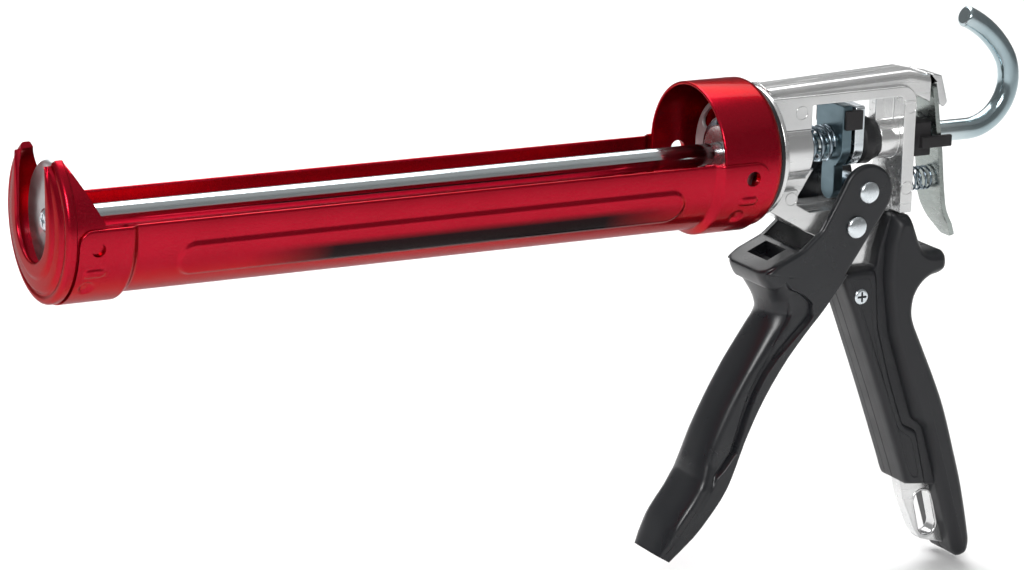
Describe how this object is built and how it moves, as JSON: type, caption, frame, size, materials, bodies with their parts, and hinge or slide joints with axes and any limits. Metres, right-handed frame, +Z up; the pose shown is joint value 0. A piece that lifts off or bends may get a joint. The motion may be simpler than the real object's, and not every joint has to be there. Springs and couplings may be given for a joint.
{
  "type": "caulking gun",
  "caption": "Skeleton caulking gun with a swivelling half-round cartridge cradle, hooked push rod, trigger-driven grip plates, thumb release lever and plastic-shelled handle.",
  "frame": {"origin": "where the push rod's axis meets the front lip of the collar", "axes": "+X along the rod to the rear, towards the hook; +Z up, away from the trigger; +Y to the gun's far side"},
  "size_m": [0.392, 0.0564, 0.2125],
  "materials": {
    "red_paint": "candy red gloss paint over bright steel sheet",
    "bright_casting": "bright polished die casting",
    "bright_rod": "drawn steel rod, bright plated",
    "zinc_plate": "clear zinc plate",
    "dark_zinc": "dark zinc plate on hardened steel",
    "spring_steel": "oiled spring steel",
    "grey_disc": "satin grey",
    "black_ring": "satin black",
    "black_block": "matt black moulding",
    "handle_plastic": "fine-textured black moulding",
    "trigger_black": "satin black coat"
  },
  "bodies": {
    "frame": {"body_casting": "bright_casting", "swivel_ring": "black_ring", "seat_disc": "grey_disc", "swivel_circlip": "spring_steel", "rear_buffer": "black_ring", "release_guide": "black_block", "drive_spring": "spring_steel", "release_spring": "spring_steel", "trigger_pivot_pin": "zinc_plate", "grip_shell_left": "handle_plastic", "grip_shell_right": "handle_plastic", "grip_screw": "zinc_plate", "grip_nut": "zinc_plate"},
    "holder": {"collar": "red_paint", "cradle": "red_paint", "front_cap": "red_paint"},
    "rod": {"push_rod": "bright_rod", "piston_plate": "zinc_plate", "piston_washer": "zinc_plate", "piston_screw": "zinc_plate"},
    "drive": {"drive_plate": "dark_zinc", "grip_plate": "zinc_plate", "plate_carrier": "black_block"},
    "trigger": {"trigger": "trigger_black", "roller_pin": "zinc_plate"},
    "roller": {"drive_roller": "spring_steel"},
    "release": {"release_lever": "zinc_plate"}
  },
  "joints": [
    {"name": "holder_spin", "type": "hinge", "parent": "frame", "child": "holder", "pos_m": [0, 0, 0], "axis": [1, 0, 0], "continuous": true},
    {"name": "rod_slide", "type": "slide", "parent": "frame", "child": "rod", "axis": [1, 0, 0], "range_m": [0, 0.245]},
    {"name": "trigger_squeeze", "type": "hinge", "parent": "frame", "child": "trigger", "pos_m": [0.0636, 0, -0.0289], "axis": [0, -1, 0], "range_deg": [0, 26], "stiffness_Nm_per_rad": 0.6, "springref_deg": -22.92},
    {"name": "drive_slide", "type": "slide", "parent": "frame", "child": "drive", "axis": [-1, 0, 0], "range_m": [0, 0.0062], "stiffness_N_per_m": 900, "springref_m": -0.002, "deforming": ["drive_spring"]},
    {"name": "roller_spin", "type": "hinge", "parent": "trigger", "child": "roller", "pos_m": [0.0685, 0, -0.0163], "axis": [0, 1, 0], "continuous": true},
    {"name": "release_press", "type": "hinge", "parent": "frame", "child": "release", "pos_m": [0.1006, 0, 0.0186], "axis": [0, 1, 0], "range_deg": [0, 5], "stiffness_Nm_per_rad": 0.8, "springref_deg": -5.73, "deforming": ["release_spring"]}
  ],
  "couplings": [
    {"joint": "drive_slide", "follows": "trigger_squeeze", "m_per_rad": 0.01327}
  ]
}
